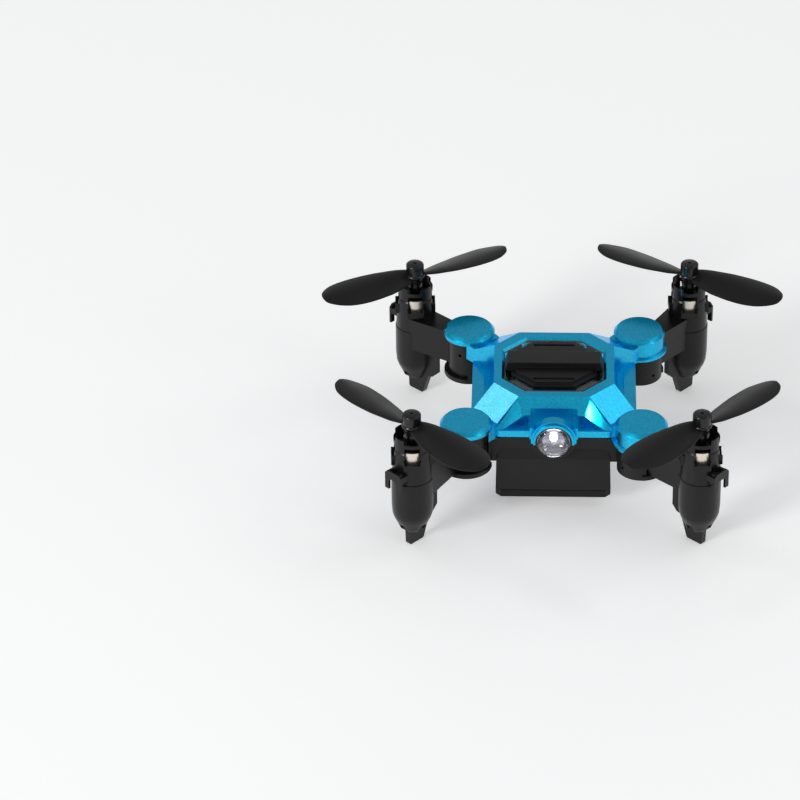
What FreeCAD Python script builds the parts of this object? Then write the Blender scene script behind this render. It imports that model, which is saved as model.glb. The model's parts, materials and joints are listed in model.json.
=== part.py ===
import FreeCAD, Part
import math
import os
import re

import Sketcher
from FreeCAD import Placement, Rotation, Vector

# Folding palm-size quadcopter, in millimetres. +Z is up, the headlamp looks along -Y and the origin is
# the middle of the battery's underside. Each turret carries an arm that folds 99 degrees round the body,
# and the four turrets repeat every quarter turn, like a pinwheel.

DIMENSIONS = {
    # hinge turrets
    "hinge_half": 16.0,
    "cap_radius": 4.8,
    "cap_flat": 4.2,
    "cap_top": 17.1,
    "cap_edge": 16.4,
    "cap_under": 15.7,
    "skirt_radius": 4.75,
    "skirt_foot": 13.4,
    "lip_radius": 5.3,
    "sole_under": 12.6,
    "chamber_radius": 4.15,
    "cup_radius": 4.5,
    "cup_seam": 10.0,
    "flange_radius": 4.75,
    "flange_top": 8.2,
    "flange_under": 7.1,
    "post_radius": 1.5,
    "pivot_bore": 1.55,
    "wall_start": 177.0,
    "wall_sweep": 195.5,
    "skirt_lag": 11.0,
    # deck of the top shell
    "deck_top": 19.15,
    "deck_foot": 13.0,
    "deck_half": 11.05,
    "deck_corner": 4.58,
    "deck_flare": 0.75,
    "wall": 1.0,
    "beam_root": 8.05,
    "beam_end": 17.9,
    "beam_low": 15.7,
    "lip_inner": 13.0,
    "side_half": 15.2,
    "side_lip_half": 7.9,
    "side_lip_top": 14.0,
    "sole_corner": 12.2,
    "sole_front": 14.6,
    "front_face": 15.5,
    "rim_plane": 13.2,
    "slope_root": 10.0,
    "slope_foot": 12.4,
    "slope_low": 15.9,
    "slot_half": 4.3,
    "slot_back": 11.9,
    "cheek_reach": 5.05,
    "cheek_low": 15.94,
    "cheek_tip": 18.1,
    "cheek_tip_reach": 3.9,
    "cheek_tip_low": 14.2,
    "cheek_tip_high": 14.6,
    "apron_half": 10.2,
    "apron_side": 12.0,
    "apron_top": 14.5,
    "pocket_floor": 13.5,
    "pocket_near": 5.4,
    "pocket_far": 9.3,
    "pocket_front": 15.0,
    "block_half": 4.4,
    "block_top": 15.5,
    "block_front": 16.2,
    # grille, light guide and board
    "opening_x": 9.15,
    "opening_y": 8.8,
    "opening_corner": 4.1,
    "opening_edge": 0.5,
    "guide_lap": 0.7,
    "guide_thick": 1.4,
    "guide_top": 18.8,
    "rim_x": 7.85,
    "rim_y": 7.6,
    "rim_corner": 3.9,
    "rim_top": 19.3,
    "plateau_x": 7.0,
    "plateau_y": 6.9,
    "plateau_corner": 3.7,
    "plateau_top": 19.7,
    "grille_foot": 16.0,
    "grille_lip": 0.7,
    "grille_roof": 18.2,
    "groove_place": 5.75,
    "groove_half": 3.8,
    "groove_width": 0.5,
    "bar_x": 9.05,
    "bar_y": 2.1,
    "bar_slant": 0.45,
    "bar_top": 20.75,
    "fit_gap": 0.1,
    "board_half": 9.4,
    "board_under": 13.4,
    "board_thick": 0.8,
    # headlamp
    "lamp_height": 13.55,
    "lamp_radius": 3.05,
    "hood_radius": 4.15,
    "hood_inner": 3.35,
    "hood_front": 18.0,
    "hood_rear": 15.6,
    "hood_floor": 15.9,
    "hood_foot": 13.1,
    "lamp_bore": 1.6,
    "lamp_rear": 13.3,
    "lens_front": 19.2,
    # lower box and battery
    "box_half": 10.4,
    "box_foot": 1.6,
    "box_bevel": 8.33,
    "box_ridge": 10.36,
    "box_recess": 0.6,
    "bay_half": 9.4,
    "bay_top": 11.0,
    "bay_front": 14.5,
    "rail_low": 5.9,
    "rail_high": 7.1,
    "rail_reach": 9.95,
    "tray_half": 10.6,
    "tray_thick": 1.5,
    "case_half": 9.3,
    "case_top": 10.85,
    "case_front": 12.2,
    "case_rear": 15.4,
    "cell_half": 8.2,
    "cell_top": 9.6,
    "port_half": 3.75,
    "port_low": 4.65,
    "port_high": 7.25,
    # power button
    "button_half": 1.5,
    "button_height": 1.2,
    "button_level": 12.5,
    "button_travel": 0.6,
    # arms, in the frame of the turret axis with the motor pod along +X
    "arm_reach": 14.15,
    "arm_lead": 2.8,
    "knuckle_radius": 3.95,
    "knuckle_top": 15.6,
    "arm_under": 8.3,
    "arm_seam": 12.0,
    "seam_edge": 0.14,
    "arm_top": 14.9,
    "arm_right": 2.2,
    "arm_left": 0.635,
    "arm_spread": 0.2125,
    "pod_radius": 3.8,
    "pod_cone_top": 6.1,
    "pod_foot": 0.8,
    "pod_bore": 3.03,
    "pod_bore_foot": 5.2,
    "pod_shoulder": 18.2,
    "pod_shoulder_radius": 3.5,
    "crown_radius": 3.35,
    "crown_top": 21.2,
    "crown_notch": 20.35,
    "window_low": 16.35,
    "window_high": 19.6,
    "window_half": 1.4,
    "leg_thick": 1.1,
    "leg_tip": -2.5,
    "clip_half": 1.95,
    "clip_band": 0.95,
    "clip_top": 14.9,
    "clip_low": 11.0,
    "clip_gap": 4.6,
    "clip_outer": 5.05,
    "wire_half": 0.9,
    "wire_outer": 3.55,
    "wire_low": 10.0,
    "wire_high": 13.6,
    "wire_thick": 0.4,
    # coreless motor
    "can_radius": 3.0,
    "can_foot": 6.4,
    "can_top": 18.7,
    "shaft_radius": 0.5,
    # propeller
    "prop_radius": 19.6,
    "prop_level": 23.35,
    "hub_top": 25.35,
    "hub_foot": 19.6,
    "hub_stem": 3.6,
    "hub_radius": 1.7,
}

# Turrets in order: name, quarter turns from the front left one, way the propeller turns, and the angle
# of its blades to the arm at rest.
TURRETS = (
    ("fl", 0, 1, 89.5),
    ("fr", 1, -1, 84.0),
    ("rr", 2, 1, -74.2),
    ("rl", 3, -1, 68.7),
)

doc = FreeCAD.newDocument("palm_drone")
sheet = doc.addObject("Spreadsheet::Sheet", "Dim")
for row, (alias, value) in enumerate(DIMENSIONS.items(), start=1):
    sheet.set(f"A{row}", str(value))
    sheet.setAlias(f"A{row}", alias)
doc.recompute()


def bound(text):
    """The same expression with every dimension pointing at its cell of the sheet."""
    return re.sub(r"[a-z][a-z_]*", lambda word: "Dim." + word[0] if word[0] in DIMENSIONS else word[0], text)


def size(name):
    """The value of one dimension of the sheet."""
    return float(sheet.get(name))


def number(text):
    """The value of an expression in the sheet's dimensions."""
    value = sheet.evalExpression(bound(text))
    return float(getattr(value, "Value", value))


def new_body(label):
    """An empty body for one sub-part."""
    body = doc.addObject("PartDesign::Body", label)
    body.Label = label
    return body


def new_sketch(body, plane="XY_Plane", lift="0", turn=0.0):
    """A sketch on one of a body's own planes, moved along its normal and turned about its second axis."""
    sketch = body.newObject("Sketcher::SketchObject", body.Name + "_sketch")
    planes = {feature.Role: feature for feature in body.Origin.OriginFeatures}
    sketch.AttachmentSupport = [(planes[plane], "")]
    sketch.MapMode = "FlatFace"
    sketch.AttachmentOffset = Placement(Vector(), Rotation(Vector(0, 1, 0), turn))
    sketch.setExpression("AttachmentOffset.Base.z", bound(lift))
    return sketch


def place_point(sketch, geometry, end, x, y):
    """Hold one point of a sketch at two expressions in the sheet's dimensions."""
    for kind, text in (("DistanceX", x), ("DistanceY", y)):
        rule = sketch.addConstraint(Sketcher.Constraint(kind, -1, 1, geometry, end, number(text)))
        sketch.setExpression(f"Constraints[{rule}]", bound(text))


def add_polygon(sketch, points):
    """A closed outline whose corners are pairs of expressions."""
    corners = [Vector(number(x), number(y), 0) for x, y in points]
    first = sketch.GeometryCount
    count = len(points)
    for k in range(count):
        sketch.addGeometry(Part.LineSegment(corners[k], corners[(k + 1) % count]))
    for k, (x, y) in enumerate(points):
        sketch.addConstraint(Sketcher.Constraint("Coincident", first + k, 2, first + (k + 1) % count, 1))
        place_point(sketch, first + k, 1, x, y)


def add_circle(sketch, x, y, radius):
    """A circle with its centre and radius bound to the sheet."""
    centre = Vector(number(x), number(y), 0)
    index = sketch.addGeometry(Part.Circle(centre, Vector(0, 0, 1), number(radius)))
    place_point(sketch, index, 3, x, y)
    rule = sketch.addConstraint(Sketcher.Constraint("Radius", index, number(radius)))
    sketch.setExpression(f"Constraints[{rule}]", bound(radius))


def extrude(body, sketch, kind, length, symmetric=False, taper="0"):
    """A pad or a pocket of a sketch."""
    feature = body.newObject("PartDesign::" + kind, body.Name + "_" + kind.lower())
    feature.Profile = sketch
    feature.Type = "Length"
    feature.setExpression("Length", bound(length))
    feature.setExpression("TaperAngle", bound(taper))
    if symmetric:
        feature.SideType = "Symmetric"
    sketch.Visibility = False
    return feature


def slab(body, points, low, high, taper="0"):
    """Material between two levels inside an outline."""
    sketch = new_sketch(body, lift=low)
    add_polygon(sketch, points)
    return extrude(body, sketch, "Pad", f"({high}) - ({low})", taper=taper)


def carve(body, points, low, high, taper="0"):
    """A hole between two levels inside an outline."""
    sketch = new_sketch(body, lift=high)
    add_polygon(sketch, points)
    return extrude(body, sketch, "Pocket", f"({high}) - ({low})", taper=taper)


def rods(body, centres, radius, low, high, kind="Pad"):
    """Upright rods, or holes with kind Pocket, at a list of centres."""
    sketch = new_sketch(body, lift=high if kind == "Pocket" else low)
    for x, y in centres:
        add_circle(sketch, x, y, radius)
    return extrude(body, sketch, kind, f"({high}) - ({low})")


def lathe(body, points, x="0", y="0", start=0.0, sweep="360", kind="Revolution"):
    """A profile of radius and height pairs turned about the upright axis through x and y."""
    sketch = new_sketch(body, "XZ_Plane", turn=start)
    sketch.setExpression("AttachmentOffset.Base.x", bound(x))
    sketch.setExpression("AttachmentOffset.Base.z", bound(f"-({y})"))
    add_polygon(sketch, points)
    feature = body.newObject("PartDesign::" + kind, body.Name + "_" + kind.lower())
    feature.Profile = sketch
    feature.ReferenceAxis = (sketch, ["V_Axis"])
    feature.setExpression("Angle", bound(sweep))
    sketch.Visibility = False
    return feature


def along_y(body, centres, radius, front, rear, kind="Pad"):
    """Rods or holes along Y. Front and rear are distances towards -Y, front the larger."""
    sketch = new_sketch(body, "XZ_Plane", lift=front if kind == "Pocket" else rear)
    for x, z in centres:
        add_circle(sketch, x, z, radius)
    return extrude(body, sketch, kind, f"({front}) - ({rear})")


def across_y(body, points, front, rear, kind="Pad"):
    """Material or a hole along Y inside an outline in X and Z, with front and rear as in along_y."""
    sketch = new_sketch(body, "XZ_Plane", lift=front if kind == "Pocket" else rear)
    add_polygon(sketch, points)
    return extrude(body, sketch, kind, f"({front}) - ({rear})")


def radial_hole(body, x, y, angle, level, radius, inner, outer):
    """A round hole that points away from the upright axis through x and y, between two distances from it."""
    sketch = new_sketch(body, "XZ_Plane", turn=angle + 90.0)
    sketch.setExpression("AttachmentOffset.Base.x", bound(f"{x} + ({inner}) * cos({angle})"))
    sketch.setExpression("AttachmentOffset.Base.z", bound(f"-({y}) - ({inner}) * sin({angle})"))
    add_circle(sketch, "0", level, radius)
    hole = extrude(body, sketch, "Pocket", f"({outer}) - ({inner})")
    hole.Reversed = True
    return hole


def quarter_turns(body, features):
    """The same features on all four turrets."""
    pattern = body.newObject("PartDesign::PolarPattern", body.Name + "_pattern")
    pattern.Originals = features
    axes = {feature.Role: feature for feature in body.Origin.OriginFeatures}
    pattern.Axis = (axes["Z_Axis"], [""])
    pattern.Angle = 360
    pattern.Occurrences = 4
    body.Tip = pattern
    return pattern


def rectangle(x_low, x_high, y_low, y_high):
    """The corners of a rectangle, anticlockwise."""
    return [(x_low, y_low), (x_high, y_low), (x_high, y_high), (x_low, y_high)]


def centred(x_half, y_half):
    """The corners of a rectangle about the origin."""
    return rectangle(f"-({x_half})", x_half, f"-({y_half})", y_half)


def around(x, y, x_half, y_half):
    """The corners of a rectangle about a point."""
    return rectangle(f"{x} - {x_half}", f"{x} + {x_half}", f"{y} - {y_half}", f"{y} + {y_half}")


def octagon(x_half, y_half, corner):
    """The corners of a rectangle about the origin with 45 degree corners cut off."""
    points = []
    for sx, sy, first in (("", "-", 1), ("", "", 0), ("-", "", 1), ("-", "-", 0)):
        by_x = (f"{sx}(({x_half}) - ({corner}))", f"{sy}({y_half})")
        by_y = (f"{sx}({x_half})", f"{sy}(({y_half}) - ({corner}))")
        points += [by_x, by_y] if first else [by_y, by_x]
    return points


HINGE = ("hinge_half", "hinge_half")
TURRET_CENTRES = [(f"{sx}hinge_half", f"{sy}hinge_half") for sx in ("-", "") for sy in ("-", "")]
WALL_START = size("wall_start")
LAMP = [("0", "lamp_height")]

# Directions of the small eye in each cup, for the rear right turret, and of the dimple in each knuckle, from
# its arm.
CUP_EYE_ANGLE = 308.7
KNUCKLE_DIMPLE_ANGLE = 106.7

# How much an octagon's corner cut grows with each millimetre the octagon is widened.
CORNER_GROWTH = "(2 - sqrt(2))"

# Along a diagonal of the body: where the deck ends, where the turret's axis stands, and half a beam's width.
DECK_REACH = "(2 * deck_half - deck_corner) / sqrt(2)"
TURRET_REACH = "hinge_half * sqrt(2)"
BEAM_HALF = "deck_corner / sqrt(2)"


def cheek_section(body, reach, corners):
    """An upright sketch across the front right diagonal, at a distance from the body's middle."""
    sketch = new_sketch(body, "XZ_Plane", turn=45.0)
    for side in ("x", "z"):
        sketch.setExpression(f"AttachmentOffset.Base.{side}", bound(f"({reach}) / sqrt(2)"))
    add_polygon(sketch, corners)
    sketch.Visibility = False
    return sketch


def front_cheeks(body):
    """The slanted strips that run from the deck's front corners down beside the two front beams."""
    root = [(f"0.6 - {BEAM_HALF}", "sole_under"), (f"0.6 - {BEAM_HALF}", "deck_top"),
            (f"-({BEAM_HALF})", "deck_top"), ("-cheek_reach", "cheek_low"), ("-cheek_reach", "sole_under")]
    tip = [(f"0.6 - {BEAM_HALF}", "sole_under"), (f"0.6 - {BEAM_HALF}", "cheek_tip_high"),
           (f"-({BEAM_HALF})", "cheek_tip_high"), ("-cheek_tip_reach", "cheek_tip_low"),
           ("-cheek_tip_reach", "sole_under")]
    loft = body.newObject("PartDesign::AdditiveLoft", "top_shell_cheek")
    loft.Profile = cheek_section(body, DECK_REACH, root)
    loft.Sections = [cheek_section(body, "cheek_tip", tip)]
    loft.Ruled = True
    mirror = body.newObject("PartDesign::Mirrored", "top_shell_cheeks")
    mirror.Originals = [loft]
    planes = {feature.Role: feature for feature in body.Origin.OriginFeatures}
    mirror.MirrorPlane = (planes["YZ_Plane"], [""])
    body.Tip = mirror


def top_shell():
    """The painted upper shell: deck, four sloping beams, turret caps with posts, side lips and lamp hood."""
    body = new_body("top_shell")
    wide = "deck_half + deck_flare"
    slab(body, octagon(wide, wide, f"deck_corner + deck_flare * {CORNER_GROWTH}"), "deck_foot", "deck_top",
         taper="-atan(deck_flare / (deck_top - deck_foot))")
    sole = [("side_half", "-sole_corner"), ("side_half", "sole_corner"), ("sole_corner", "side_half"),
            ("-sole_corner", "side_half"), ("-side_half", "sole_corner"), ("-side_half", "-sole_corner"),
            ("-sole_corner", "-sole_front"), ("-apron_half", "-front_face"), ("apron_half", "-front_face"),
            ("sole_corner", "-sole_front")]
    slab(body, sole, "sole_under", "deck_foot")

    beam = new_sketch(body, "XZ_Plane", turn=45.0)
    add_polygon(beam, [("beam_root", "sole_under"), (TURRET_REACH, "sole_under"),
                       (TURRET_REACH, "cap_edge"), ("beam_end", "beam_low"), (DECK_REACH, "deck_top"),
                       ("beam_root", "deck_top")])
    beam_pad = extrude(body, beam, "Pad", f"2 * {BEAM_HALF}", symmetric=True)
    cap = lathe(body, [("0", "cap_under"), ("cap_radius", "cap_under"), ("cap_radius", "cap_edge"),
                       ("cap_flat", "cap_top"), ("0", "cap_top")], *HINGE)
    skirt = lathe(body, [("chamber_radius - 0.3", "sole_under"), ("lip_radius - 0.25", "sole_under"),
                         ("lip_radius", "sole_under + 0.25"), ("lip_radius", "skirt_foot - 0.15"),
                         ("skirt_radius", "skirt_foot"), ("skirt_radius", "cap_under + 0.2"),
                         ("chamber_radius - 0.3", "cap_under + 0.2")],
                  *HINGE, start=WALL_START + size("skirt_lag"), sweep="wall_sweep - skirt_lag")
    quarter_turns(body, [beam_pad, cap, skirt])

    lip = [("lip_inner", "side_half - side_lip_half - lip_inner"), ("side_half", "-side_lip_half"),
           ("side_half", "side_lip_half"), ("lip_inner", "lip_inner + side_lip_half - side_half")]
    slab(body, lip, "sole_under", "side_lip_top")
    slab(body, [(f"-({x})", y) for x, y in reversed(lip)], "sole_under", "side_lip_top")
    shelf = rectangle("-apron_half", "apron_half", "deck_half - wall / 2", "side_half")
    slab(body, shelf, "deck_foot - 0.1", "rim_plane + 0.4")
    slab(body, [(f"-({y})", x) for x, y in lip], "rim_plane", "side_lip_top + 0.4")

    slope = new_sketch(body, "YZ_Plane")
    add_polygon(slope, [("-slope_root", "deck_foot"), ("-slope_foot", "deck_foot"),
                        ("-slope_foot", "slope_low"), ("-deck_half", "deck_top"),
                        ("-slope_root", "deck_top")])
    extrude(body, slope, "Pad", "2 * (deck_half - deck_corner)", symmetric=True)
    front_cheeks(body)
    apron = [("-apron_half", "-front_face"), ("apron_half", "-front_face"),
             ("apron_side", "1 - sole_front"), ("apron_side", "-apron_side"),
             ("-apron_side", "-apron_side"), ("-apron_side", "1 - sole_front")]
    slab(body, apron, "deck_foot - 0.2", "apron_top")
    for side in ("", "-"):
        near = f"{side}(block_half + 0.3)"
        pocket = [(near, "-slope_foot"), (f"{side}pocket_near", "-slope_foot"),
                  (f"{side}pocket_far", "-pocket_front"), (near, "-pocket_front")]
        carve(body, pocket, "pocket_floor", "apron_top")
    block = rectangle("-block_half", "block_half", "-block_front", "-slope_foot + 0.2")
    slab(body, block, "rim_plane", "block_top")
    slot = rectangle("-slot_half", "slot_half", "-slope_foot - 0.2", "-slot_back")
    carve(body, slot, "block_top", "deck_top")

    along_y(body, LAMP, "hood_radius", "hood_front - 0.5", "hood_rear")
    along_y(body, LAMP, "hood_radius - 0.4", "hood_front", "hood_rear")
    along_y(body, LAMP, "hood_inner", "hood_front + 1", "hood_floor", "Pocket")
    along_y(body, LAMP, "lamp_bore", "hood_front", "lamp_rear", "Pocket")
    carve(body, rectangle("-5", "5", "-hood_front - 1", "0.02 - front_face"), "5", "hood_foot")

    inner = "deck_half - wall"
    carve(body, octagon(inner, inner, f"deck_corner - wall * {CORNER_GROWTH}"), "sole_under - 1",
          "deck_top - wall")
    carve(body, centred("box_half + 0.05", "front_face + 0.05"), "sole_under - 1", "rim_plane")
    carve(body, octagon("opening_x", "opening_y", "opening_corner"), "deck_top - 2 * wall", "deck_top")
    edge = octagon("opening_x + opening_edge", "opening_y + opening_edge",
                   f"opening_corner + opening_edge * {CORNER_GROWTH}")
    carve(body, edge, "deck_top - opening_edge", "deck_top", taper="-45")

    rods(body, TURRET_CENTRES, "chamber_radius", "sole_under - 1", "cap_under", "Pocket")
    rods(body, TURRET_CENTRES, "post_radius", "flange_top", "cap_under")
    rods(body, TURRET_CENTRES, "0.55", "flange_top - 1", "flange_top + 5.5", "Pocket")
    return body


def bottom_shell():
    """The black lower shell: battery bay walls, board floor, turret cups and their flanges."""
    body = new_body("bottom_shell")
    slab(body, centred("box_half", "front_face"), "box_foot", "box_bevel")
    slab(body, centred("box_half", "front_face"), "box_bevel", "box_ridge",
         taper="-atan(box_recess / (box_ridge - box_bevel))")
    slab(body, centred("box_half - box_recess", "front_face - box_recess"), "box_ridge", "rim_plane")

    for sx in ("", "-"):
        for sy in ("", "-"):
            web = rectangle(f"{sx}9.6", f"{sx}13.4", f"{sy}11.4", f"{sy}15.0")
            slab(body, web, "flange_top - 0.6", "sole_under")
    disc = rods(body, [HINGE], "cup_radius - 0.1", "flange_under", "flange_top")
    flange = lathe(body, [("3", "flange_under + 0.1"), ("flange_radius - 0.15", "flange_under + 0.1"),
                          ("flange_radius", "flange_under + 0.25"), ("flange_radius", "flange_top"),
                          ("3", "flange_top")],
                   *HINGE, start=WALL_START - 175.0, sweep="350 - wall_sweep + 20")
    cup = lathe(body, [("chamber_radius - 0.3", "flange_top - 0.2"),
                       ("cup_radius - 0.1", "flange_top - 0.2"), ("cup_radius - 0.1", "cup_seam"),
                       ("cup_radius", "cup_seam + 0.1"), ("cup_radius", "sole_under"),
                       ("chamber_radius - 0.3", "sole_under")],
                *HINGE, start=WALL_START, sweep="wall_sweep")
    eye = radial_hole(body, *HINGE, CUP_EYE_ANGLE, "flange_top + 0.6", "0.3", "chamber_radius - 0.5",
                      "cup_radius + 0.5")
    quarter_turns(body, [disc, flange, cup, eye])
    rods(body, TURRET_CENTRES, "chamber_radius", "flange_top", "sole_under + 0.2", "Pocket")
    rods(body, TURRET_CENTRES, "0.7", "flange_under - 1", "flange_top + 1", "Pocket")
    rods(body, TURRET_CENTRES, "1.5", "flange_under - 1", "flange_under + 0.6", "Pocket")

    bay = rectangle("-bay_half", "bay_half", "-bay_front", "front_face + 1")
    carve(body, bay, "box_foot - 1", "bay_top")
    rail = rectangle("-rail_reach", "rail_reach", "-bay_front", "front_face + 1")
    carve(body, rail, "rail_low", "rail_high")
    carve(body, centred("bay_half - box_recess", "bay_front - box_recess"), "bay_top + 0.8", "rim_plane + 1")
    carve(body, rectangle("-4.2", "4.2", "-13.6", "-11"), "bay_top - 1", "rim_plane")
    along_y(body, LAMP, "lamp_bore", "front_face + 1", "lamp_rear", "Pocket")
    half = "button_half + fit_gap"
    slot = rectangle(f"-({half})", half, "button_level - button_height / 2 - fit_gap",
                     "button_level + button_height / 2 + fit_gap")
    across_y(body, slot, "-13", "-front_face - 1", "Pocket")
    return body


def top_grille():
    """The black insert in the deck, with a raised cross bar, two grooves and a lip under the light guide."""
    body = new_body("top_grille")
    slab(body, octagon("rim_x", "rim_y", "rim_corner"), "grille_foot", "rim_top")
    slab(body, octagon("rim_x + grille_lip", "rim_y + grille_lip", "rim_corner"), "grille_foot",
         "grille_foot + grille_lip")
    slab(body, octagon("plateau_x", "plateau_y", "plateau_corner"), "rim_top", "plateau_top")
    bar = [("-bar_x", "guide_top + fit_gap"), ("bar_x", "guide_top + fit_gap"),
           ("bar_x - bar_slant", "bar_top"), ("bar_slant - bar_x", "bar_top")]
    across_y(body, bar, "bar_y", "-bar_y")
    for sign in ("", "-"):
        groove = rectangle("-groove_half", "groove_half", f"{sign}groove_place - groove_width / 2",
                           f"{sign}groove_place + groove_width / 2")
        carve(body, groove, "plateau_top - 0.4", "plateau_top")
    carve(body, octagon("rim_x - wall", "rim_y - wall", "rim_corner - 0.4"), "grille_foot", "grille_roof")
    return body


def light_guide():
    """The clear ring between grille and deck, which carries light to the diagonal windows."""
    body = new_body("light_guide")
    foot = "deck_top - wall - guide_thick"
    slab(body, octagon("opening_x + guide_lap", "opening_y + guide_lap", "opening_corner"), foot,
         "deck_top - wall - 0.02")
    slab(body, octagon("opening_x - 0.03", "opening_y - 0.03", "opening_corner"), foot, "guide_top")
    carve(body, octagon("rim_x + 0.05", "rim_y + 0.05", "rim_corner"), foot, "guide_top")
    return body


def main_board():
    """The flight controller's circuit board."""
    body = new_body("main_board")
    slab(body, octagon("board_half", "board_half", "3.4"), "board_under", "board_under + board_thick")
    return body


def board_chips():
    """Controller, radio and motion sensor chips with the four motor transistors."""
    body = new_body("board_chips")
    top = "board_under + board_thick"
    chips = [("0", "0", "2.5", "2.5", "1.0"), ("5.7", "0", "1.5", "1.5", "0.9"),
             ("-5.7", "0", "1.5", "1.5", "0.9")]
    chips += [(f"{sx}3.6", f"{sy}5.8", "0.8", "0.6", "0.8") for sx in ("", "-") for sy in ("", "-")]
    for x, y, x_half, y_half, high in chips:
        slab(body, around(x, y, x_half, y_half), top, f"{top} + {high}")
    return body


def status_leds():
    """Four small lamps under the diagonal windows of the light guide."""
    body = new_body("status_leds")
    top = "board_under + board_thick"
    for sx in ("", "-"):
        for sy in ("", "-"):
            slab(body, around(f"{sx}6.4", f"{sy}6.3", "0.6", "0.5"), top, f"{top} + 0.7")
    return body


def battery_connector():
    """The socket under the board that the battery's contacts press against."""
    body = new_body("battery_connector")
    slab(body, rectangle("-4", "4", "-13.4", "-case_front - 0.35"), "bay_top - 2.6", "bay_top + 1.2")
    slab(body, rectangle("-4", "4", "-13.0", "1 - board_half"), "bay_top + 1.2", "bay_top + 1.7")
    slab(body, rectangle("-4", "4", "0.3 - board_half", "1 - board_half"), "bay_top + 1.7", "board_under")
    return body


def power_switch():
    """The small push switch behind the power button."""
    body = new_body("power_switch")
    slab(body, rectangle("-1.6", "1.6", "7", "9.2"), "button_level - 0.7", "board_under")
    slab(body, rectangle("-0.5", "0.5", "9.2", "9.7"), "button_level - 0.4", "button_level + 0.4")
    return body


def headlamp_parts():
    """Bezel, reflector, lamp and lens, all round the lamp's axis."""
    bezel = new_body("headlamp_bezel")
    along_y(bezel, LAMP, "hood_radius - 0.1", "hood_front - 0.7", "front_face + 0.05")
    carve(bezel, rectangle("-5", "5", "-hood_front", "-front_face"), "hood_foot - 0.05", "hood_front")
    along_y(bezel, LAMP, "hood_inner - 0.05", "hood_front - 0.3", "hood_floor + 0.05")
    along_y(bezel, LAMP, "lamp_radius - 0.15", "hood_front", "front_face", "Pocket")

    reflector = new_body("headlamp_reflector")
    lathe(reflector, [("0.8", "15.95"), ("1.0", "15.9"), ("2.0", "16.2"), ("2.85", "17.05"),
                      ("2.85", "17.25"), ("2.65", "17.25"), ("1.8", "16.4"), ("0.8", "16.15")])

    led = new_body("headlamp_led")
    rods(led, [("0", "0")], "0.75", "lamp_rear + 0.3", "16.0")
    lathe(led, [("0", "16.0"), ("0.75", "16.0"), ("0.6", "16.5"), ("0.3", "16.8"), ("0", "16.85")])

    lens = new_body("headlamp_lens")
    lathe(lens, [("0", "17.3"), ("2.85", "17.3"), ("2.85", "17.75"), ("lamp_radius", "17.75"),
                 ("lamp_radius - 0.1", "18.15"), ("2.6", "18.5"), ("1.9", "18.85"),
                 ("1.0", "lens_front - 0.07"), ("0", "lens_front")])
    for part in (reflector, led, lens):
        part.Placement = Placement(Vector(0, 0, size("lamp_height")), Rotation(Vector(1, 0, 0), 90))
        part.setExpression("Placement.Base.z", bound("lamp_height"))
    return [bezel, reflector, led, lens]


def hinge_screws():
    """Four self-tapping screws that clamp the shells together through the hinge posts."""
    body = new_body("hinge_screws")
    rods(body, TURRET_CENTRES, "1.4", "flange_under + 0.05", "flange_under + 0.6")
    rods(body, TURRET_CENTRES, "0.54", "flange_under + 0.6", "flange_top + 5.2")
    for x, y in TURRET_CENTRES:
        for wide, deep in (("0.9", "0.18"), ("0.18", "0.9")):
            cross = rectangle(f"{x} - {wide}", f"{x} + {wide}", f"{y} - {deep}", f"{y} + {deep}")
            carve(body, cross, "flange_under - 0.2", "flange_under + 0.35")
    return body


def battery_case():
    """The battery's tray and box, with side rails, grip ridges and the charging port's opening."""
    body = new_body("battery_case")
    slab(body, octagon("tray_half", "front_face", "1.0"), "0", "tray_thick")
    slab(body, rectangle("-case_half", "case_half", "-case_front", "case_rear"), "tray_thick", "case_top")
    for side in ("", "-"):
        rail = rectangle(f"{side}(case_half - 0.2)", f"{side}(rail_reach - fit_gap)", "-case_front",
                         "case_rear")
        slab(body, rail, "rail_low + fit_gap", "rail_high - fit_gap")
    for level in ("2.3", "3.6", "8.6", "9.7"):
        ridge = rectangle("1.8 - case_half", "case_half - 1.8", level, f"{level} + 0.5")
        across_y(body, ridge, "0.2 - case_rear", "-case_rear - 0.3")
    cell = rectangle("-cell_half - 0.1", "cell_half + 0.1", "-case_front + wall", "10.1")
    carve(body, cell, "tray_thick + 0.6", "cell_top + 0.1")
    port = rectangle("-port_half - 0.05", "port_half + 0.05", "port_low - 0.05", "port_high + 0.05")
    across_y(body, port, "-9", "-case_rear - 1", "Pocket")
    return body


def battery_parts():
    """Pouch cell, charging port and contacts inside the battery case."""
    cell = new_body("battery_cell")
    slab(cell, rectangle("-cell_half", "cell_half", "-case_front + wall + 0.1", "8.9"), "tray_thick + 0.7",
         "cell_top")
    port = new_body("charge_port")
    across_y(port, rectangle("-port_half", "port_half", "port_low", "port_high"), "5.2 - case_rear",
             "0.2 - case_rear")
    mouth = rectangle("0.3 - port_half", "port_half - 0.3", "port_low + 0.3", "port_high - 0.3")
    across_y(port, mouth, "4.2 - case_rear", "-case_rear", "Pocket")
    tongue = rectangle("1.15 - port_half", "port_half - 1.15", "port_low + 0.95", "port_high - 1.05")
    across_y(port, tongue, "4.8 - case_rear", "1.2 - case_rear")
    contacts = new_body("battery_contacts")
    for x in ("2.4", "-2.4"):
        spring = rectangle(f"{x} - 0.6", f"{x} + 0.6", "-case_front - 0.25", "-case_front")
        slab(contacts, spring, "8.7", "10.3")
    return [cell, port, contacts]


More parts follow.
